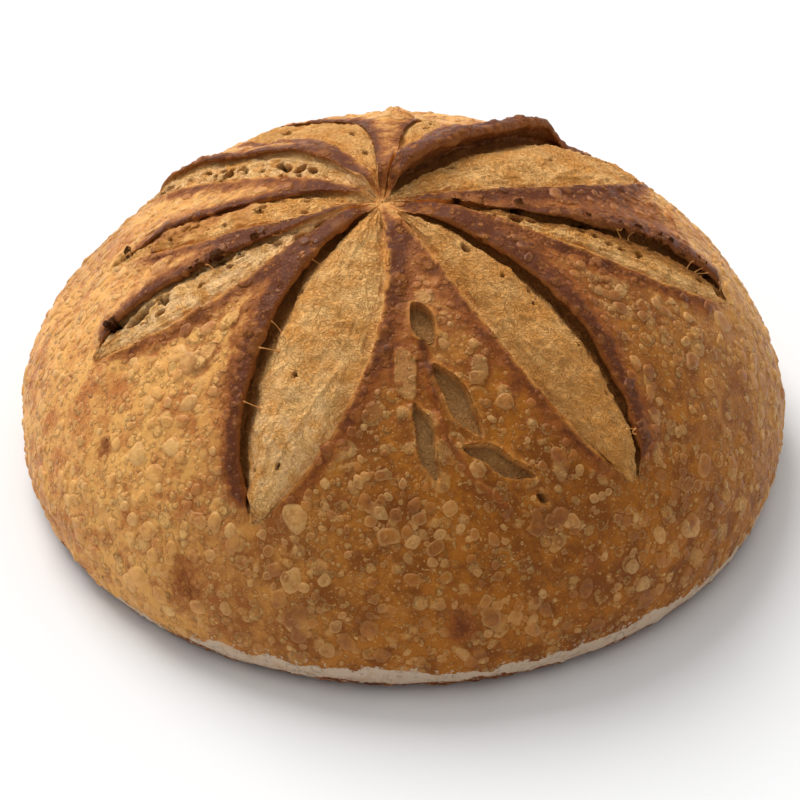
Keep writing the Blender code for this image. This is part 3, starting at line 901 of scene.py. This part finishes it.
class Tree:
    """A short way to write a material's nodes. Sizes are in millimetres."""

    def __init__(self, name):
        self.material = bpy.data.materials.new(name)
        self.material.use_nodes = True
        self.nodes = self.material.node_tree.nodes
        self.links = self.material.node_tree.links
        self.shader = self.nodes["Principled BSDF"]
        self.space = self.node("TexCoord", {}).outputs["Object"]

    def put(self, socket, value):
        """Links a socket to another one or gives it a value."""
        if isinstance(value, bpy.types.NodeSocket):
            self.links.new(value, socket)
        else:
            socket.default_value = value + (1.0,) if socket.type == "RGBA" else value

    def node(self, kind, given, **settings):
        """A node with what is given put into its inputs."""
        node = self.nodes.new("ShaderNode" + kind)
        for name, value in settings.items():
            setattr(node, name, value)
        for key, value in given.items():
            self.put(node.inputs[key], value)
        return node

    def field(self, name):
        return self.node("Attribute", {}, attribute_name=name).outputs["Fac"]

    def math(self, operation, *values):
        return self.node("Math", dict(enumerate(values)), operation=operation).outputs[0]

    def times(self, first, *others):
        for other in others:
            first = self.math("MULTIPLY", first, other)
        return first

    def plus(self, first, *others):
        for other in others:
            first = self.math("ADD", first, other)
        return first

    def spread(self, value, low, high, to_low=0.0, to_high=1.0):
        """A soft step from one value to another."""
        given = {"Value": value, "From Min": low, "From Max": high, "To Min": to_low, "To Max": to_high}
        return self.node("MapRange", given, interpolation_type="SMOOTHSTEP").outputs["Result"]

    def noise(self, size, detail=3.0, rough=0.55, warp=0.0):
        given = {"Vector": self.space, "Scale": 1000.0 / size, "Detail": detail, "Roughness": rough,
                 "Distortion": warp}
        return self.node("TexNoise", given).outputs["Fac"]

    def curls(self, size, warp, width):
        """Thin curling lines: 1 along the middle level of a twisted noise, 0 away from it."""
        level = self.math("ABSOLUTE", self.math("SUBTRACT", self.noise(size, 1.0, 0.4, warp), 0.5))
        return self.spread(level, 0.0, width, 1.0, 0.0)

    def warped(self, size, amount):
        """Places pushed about by a noise, so that what is drawn there is uneven."""
        noise = self.node("TexNoise", {"Vector": self.space, "Scale": 1000.0 / size, "Detail": 2.0})
        given = {0: noise.outputs["Color"], 1: (amount / 1000.0,) * 3, 2: self.space}
        return self.node("VectorMath", given, operation="MULTIPLY_ADD").outputs["Vector"]

    def rounds(self, places, size, largest):
        """Small round bubbles of every radius: height, a pale rim that is a painted highlight, a dark ring of
        painted shade round the foot, and tint.
        """
        node = self.node("TexVoronoi", {"Vector": places, "Scale": 1000.0 / size})
        chance = self.node("SeparateColor", {0: node.outputs["Color"]}).outputs
        radius = self.spread(chance[0], 0.2, 1.0, 0.02, largest)
        share = self.math("DIVIDE", node.outputs["Distance"], radius)
        height = self.spread(share, 0.62, 1.0, 1.0, 0.0)
        rim = self.times(self.spread(share, 0.6, 0.82), self.spread(share, 0.88, 1.0, 1.0, 0.0))
        ring = self.times(self.spread(share, 0.92, 1.04), self.spread(share, 1.08, 1.35, 1.0, 0.0))
        return height, rim, ring, self.spread(chance[1], 0.45, 1.0, 0.02, 0.6)

    def mix(self, share, first, second):
        """Two colours, mixed."""
        return self.node("Mix", {0: share, 6: first, 7: second}, data_type="RGBA").outputs[2]

    def choose(self, share, first, second):
        """Two values, mixed."""
        return self.node("Mix", {0: share, 2: first, 3: second}).outputs[0]

    def finish(self, colour, roughness, specular=None):
        """Sets the shader, whose specular level is one value all over."""
        self.put(self.shader.inputs["Base Color"], colour)
        self.put(self.shader.inputs["Roughness"], roughness)
        if specular is not None:
            self.put(self.shader.inputs["Specular IOR Level"], specular)

    def bump(self, height, distance, strength):
        given = {"Strength": strength, "Distance": distance / 1000.0, "Height": height}
        self.put(self.shader.inputs["Normal"], self.node("Bump", given).outputs["Normal"])


GOLD = (0.85, 0.430, 0.118)
COPPER = (0.55, 0.190, 0.046)
AMBER = (0.42, 0.138, 0.014)
DEEP = (0.225, 0.064, 0.0085)
RUSSET = (0.32, 0.088, 0.016)
MAHOGANY = (0.125, 0.033, 0.010)
BUBBLE_FOOT_SHADE = (0.2225, 0.0605, 0.013)
FACE_WITH_SHADE = (0.26, 0.078, 0.016)
BLISTER = (0.80, 0.48, 0.17)
TOASTED = (0.46, 0.165, 0.036)
EDGE_GOLD = (0.68, 0.29, 0.062)
CRUMB_LIGHT = (1.0, 0.62, 0.28)
CRUMB_PALE = (0.97, 0.56, 0.205)
CRUMB_GOLD = (0.79, 0.345, 0.080)
CRUMB_TOAST = (0.52, 0.20, 0.036)
CRUMB_SHADE_AND_TOAST = (0.30, 0.110, 0.024)
LEAF_CRUMB = (0.42, 0.23, 0.085)
PIT_SHADE = (0.07, 0.021, 0.005)
FLOUR = (0.66, 0.50, 0.36)


def baked_crust(tree):
    """Golden patches over copper, deeper in front where shade is painted on the side away from the suns,
    darker where it is baked hardest.
    """
    mottle = tree.plus(tree.times(tree.noise(9.0, 6.0, 0.7), 0.7), tree.times(tree.noise(34.0), 0.3))
    golden = tree.mix(tree.spread(mottle, 0.38, 0.56), COPPER, GOLD)
    # The deep field darkens the front: painted shade on the side away from the suns, over a deeper bake.
    base = tree.mix(tree.field("deep"), golden, tree.mix(tree.spread(mottle, 0.41, 0.585), DEEP, AMBER))
    uneven = tree.spread(tree.noise(6.0, 5.0, 0.65), 0.3, 0.7, -0.25, 0.25)
    baked = tree.plus(tree.field("bake"), uneven)
    base = tree.mix(tree.spread(baked, 0.10, 0.65, 0.0, 0.9), base, RUSSET)
    return tree.mix(tree.spread(baked, 0.45, 1.05), base, MAHOGANY)


def crust_colour(tree, rounds):
    """The baked crust with paler bubbles all over it, and a golden torn edge."""
    # The ear's inner face: red-brown crust, darkened further with painted shade under the lip.
    base = tree.mix(tree.times(tree.field("face"), 0.85), baked_crust(tree), FACE_WITH_SHADE)
    pale = tree.mix(tree.spread(tree.field("bake"), 0.1, 0.6), BLISTER, TOASTED)
    # Pale bubbles show less on the front, where shade is painted.
    shown = tree.spread(tree.field("deep"), 0.2, 1.0, 1.0, 0.55)
    base = tree.mix(tree.spread(tree.field("bubble"), 0.2, 1.0), base, tree.mix(0.3, base, pale))
    for height, rim, ring, tint in rounds:
        # A dark ring of painted shade round each bubble's foot.
        base = tree.mix(tree.times(ring, 0.4), base, BUBBLE_FOOT_SHADE)
        base = tree.mix(tree.times(height, tint, shown), base, pale)
        # A pale line round each bubble's edge: a painted highlight.
        base = tree.mix(tree.times(rim, 0.3), base, pale)
    base = tree.mix(tree.spread(tree.noise(0.9, 2.0), 0.60, 0.72, 0.0, 0.55), base, pale)
    torn = tree.times(tree.field("toast"), tree.spread(tree.noise(3.5), 0.40, 0.6, 0.0, 0.85))
    return tree.mix(torn, base, EDGE_GOLD)


def crumb_colour(tree, strand, fine):
    """Open crumb: pale, with toasted threads over it, painted shade in its hollows under the ears and toast
    where it is torn.
    """
    colour = tree.mix(tree.spread(tree.noise(10.0, 4.0), 0.36, 0.60), CRUMB_GOLD, CRUMB_PALE)
    patches = tree.spread(tree.noise(7.0, 5.0, 0.65), 0.42, 0.62, 0.0, 0.75)
    threads = tree.spread(tree.noise(8.0), 0.40, 0.60, 0.15, 0.6)
    flecks = tree.spread(tree.noise(1.0), 0.54, 0.66, 0.0, 0.55)
    tone = tree.field("tone")
    toasted = tree.spread(tone, 0.0, 1.0, 0.0, 0.8)
    light = tree.times(tree.spread(tone, -1.0, 0.0, 0.9, 0.0), tree.spread(tree.noise(4.5, 4.0), 0.4, 0.6))
    for share, over in ((tree.times(tree.field("toast"), patches), CRUMB_TOAST),
                        (tree.times(strand, threads), CRUMB_TOAST),
                        (tree.times(fine, 0.25), CRUMB_PALE), (flecks, CRUMB_PALE),
                        (toasted, CRUMB_TOAST), (light, CRUMB_LIGHT),
                        # Darker by the bake field: painted shade in the hollows under the ears, toast where
                        # the crumb is torn.
                        (tree.spread(tree.field("bake"), 0.1, 0.9), CRUMB_SHADE_AND_TOAST),
                        # The ear's inner face over the crumb: red-brown, with painted shade under the lip.
                        (tree.times(tree.field("face"), 0.8), FACE_WITH_SHADE),
                        (tree.times(tree.field("leaf"), 0.7), LEAF_CRUMB)):
        colour = tree.mix(share, colour, over)
    return colour


def skin_material():
    """Crust or crumb by its field, with painted shade in its pores and holes, and flour over both."""
    tree = Tree("baked_skin")
    crumb, flour = tree.field("crumb"), tree.field("flour")
    strand = tree.math("MAXIMUM", tree.curls(4.6, 1.3, 0.05), tree.curls(3.1, 1.9, 0.06))
    strand = tree.math("MAXIMUM", strand, tree.curls(8.0, 1.2, 0.035))
    fine = tree.curls(1.7, 1.7, 0.12)
    places = tree.warped(2.4, 1.3)
    rounds = [tree.rounds(places, *sizes) for sizes in ((7.5, 0.46), (4.2, 0.46), (2.2, 0.48))]
    colour = tree.mix(crumb, crust_colour(tree, rounds), crumb_colour(tree, strand, fine))
    # Pores and holes painted near black: painted shade inside them.
    colour = tree.mix(tree.times(tree.field("pit"), 0.94), colour, PIT_SHADE)
    grainy = tree.times(tree.math("SUBTRACT", tree.noise(1.6, 4.0), 0.5), 1.6)
    dust = tree.times(tree.spread(tree.plus(flour, grainy), 0.42, 0.66),
                      tree.spread(tree.noise(4.0, 4.0), 0.30, 0.52, 0.7, 1.0))
    colour = tree.mix(dust, colour, FLOUR)
    matt = tree.math("MAXIMUM", crumb, flour)
    uneven = tree.spread(tree.noise(3.0), 0.3, 0.7, -0.06, 0.1)
    tree.finish(colour, tree.plus(tree.spread(matt, 0.0, 1.0, 0.42, 0.8), uneven), specular=0.1)
    grain = tree.times(tree.noise(1.1, 4.0, 0.6), 0.8)
    for share, (height, *_) in zip((1.1, 1.0, 0.7), rounds):
        grain = tree.plus(grain, tree.times(height, share))
    web = tree.plus(tree.times(strand, 0.45), tree.times(fine, 0.25), tree.noise(1.4, 4.0, 0.6))
    tree.bump(tree.choose(crumb, grain, web), 0.6, 1.0)
    return tree.material


def blister_material():
    """Thin bubbles: warm in the middle, paler towards their rims, where a highlight is painted."""
    tree = Tree("blister_skin")
    tint = tree.field("tint")
    crust = baked_crust(tree)
    bright = tree.mix(tree.spread(tree.field("bake"), 0.1, 0.6), BLISTER, TOASTED)
    worn = tree.spread(tree.noise(1.4, 4.0, 0.6), 0.35, 0.65, 0.35, 1.0)
    # Blisters pale less on the front, where shade is painted.
    shown = tree.spread(tree.field("deep"), 0.2, 1.0, 1.0, 0.75)
    top = tree.mix(tree.times(tree.spread(tint, 0.45, 1.0, 0.06, 0.85), worn, shown), crust, bright)
    edge = tree.mix(tree.times(tree.spread(tint, 0.0, 1.0, 0.1, 0.6), shown), crust, bright)
    # Paler towards the rim: a painted highlight on each blister's edge.
    colour = tree.mix(tree.spread(tree.field("rim"), 0.2, 0.8), top, edge)
    colour = tree.mix(tree.spread(tree.noise(2.6, 4.0), 0.46, 0.66, 0.0, 0.35), colour, TOASTED)
    tree.finish(colour, tree.spread(tree.noise(2.0), 0.3, 0.7, 0.34, 0.52), specular=0.22)
    tree.bump(tree.noise(0.8, 4.0), 0.3, 0.9)
    return tree.material


def strand_material():
    """Dry threads of gluten, toasted in places."""
    tree = Tree("gluten")
    tree.finish(tree.mix(tree.noise(2.5), CRUMB_TOAST, CRUMB_GOLD), 0.6)
    return tree.material


# ---------------------------------------------------------------- the studio

CAMERA_ELEVATION = 38.0
CAMERA_DISTANCE = 6.0 * RADIUS
CAMERA_LENS = 101.3
CAMERA_TARGET = (-1.1, 0.0, 13.1)

WORLD_STRENGTH = 0.38
# The sources of light: name, azimuth, elevation, strength, and how wide across they look.
SUNS = (("window", 120.0, 48.0, 2.3, 34.0), ("panel", 124.0, 66.0, 1.0, 100.0))
# The floor: grey tone, and in metres its half side and its drop below the loaf.
FLOOR_TONE = 0.855
FLOOR_HALF_SIDE = 4.0
FLOOR_DROP = 0.0002


def camera():
    """The camera in front of the loaf and above it."""
    data = bpy.data.cameras.new("camera")
    data.lens = CAMERA_LENS
    data.sensor_width = 36.0
    thing = add("camera", data)
    tilt = math.radians(CAMERA_ELEVATION)
    x, y, z = CAMERA_TARGET
    place = (x, y - CAMERA_DISTANCE * math.cos(tilt), z + CAMERA_DISTANCE * math.sin(tilt))
    thing.location = [value * MM for value in place]
    thing.rotation_euler = (math.pi / 2 - tilt, 0.0, 0.0)
    bpy.context.scene.camera = thing


def sun(name, azimuth, elevation, strength, width):
    """A white light from far away."""
    data = bpy.data.lights.new(name, "SUN")
    data.energy = strength
    data.angle = math.radians(width)
    turn = (math.pi / 2 - math.radians(elevation), 0.0, math.radians(azimuth + 90.0))
    add(name, data).rotation_euler = turn


def floor():
    """A plain pale floor."""
    mesh = bpy.data.meshes.new("floor")
    side = FLOOR_HALF_SIDE
    mesh.from_pydata([(-side, -side, 0), (side, -side, 0), (side, side, 0), (-side, side, 0)],
                     [], [(0, 1, 2, 3)])
    tree = Tree("floor")
    tree.finish((FLOOR_TONE, FLOOR_TONE, FLOOR_TONE), 0.9, specular=0.1)
    mesh.materials.append(tree.material)
    thing = add("floor", mesh)
    thing.location.z = -FLOOR_DROP


def studio():
    """Soft light all round, two wide suns and the floor."""
    world = bpy.data.worlds.new("studio")
    bpy.context.scene.world = world
    world.use_nodes = True
    sky = world.node_tree.nodes["Background"]
    sky.inputs["Color"].default_value = (1.0, 1.0, 1.0, 1.0)
    sky.inputs["Strength"].default_value = WORLD_STRENGTH
    for values in SUNS:
        sun(*values)
    floor()
    bpy.context.scene.view_settings.view_transform = "Standard"


camera()
studio()
sheet = underside(skin())
skin_pieces(sheet, skin_material())
blistered = blister_material()
blisters(sheet, blistered, "flakes", LARGE_BLISTERS)
blisters(sheet, blistered, "bubbles", SMALL_BLISTERS)
strands(sheet, strand_material())
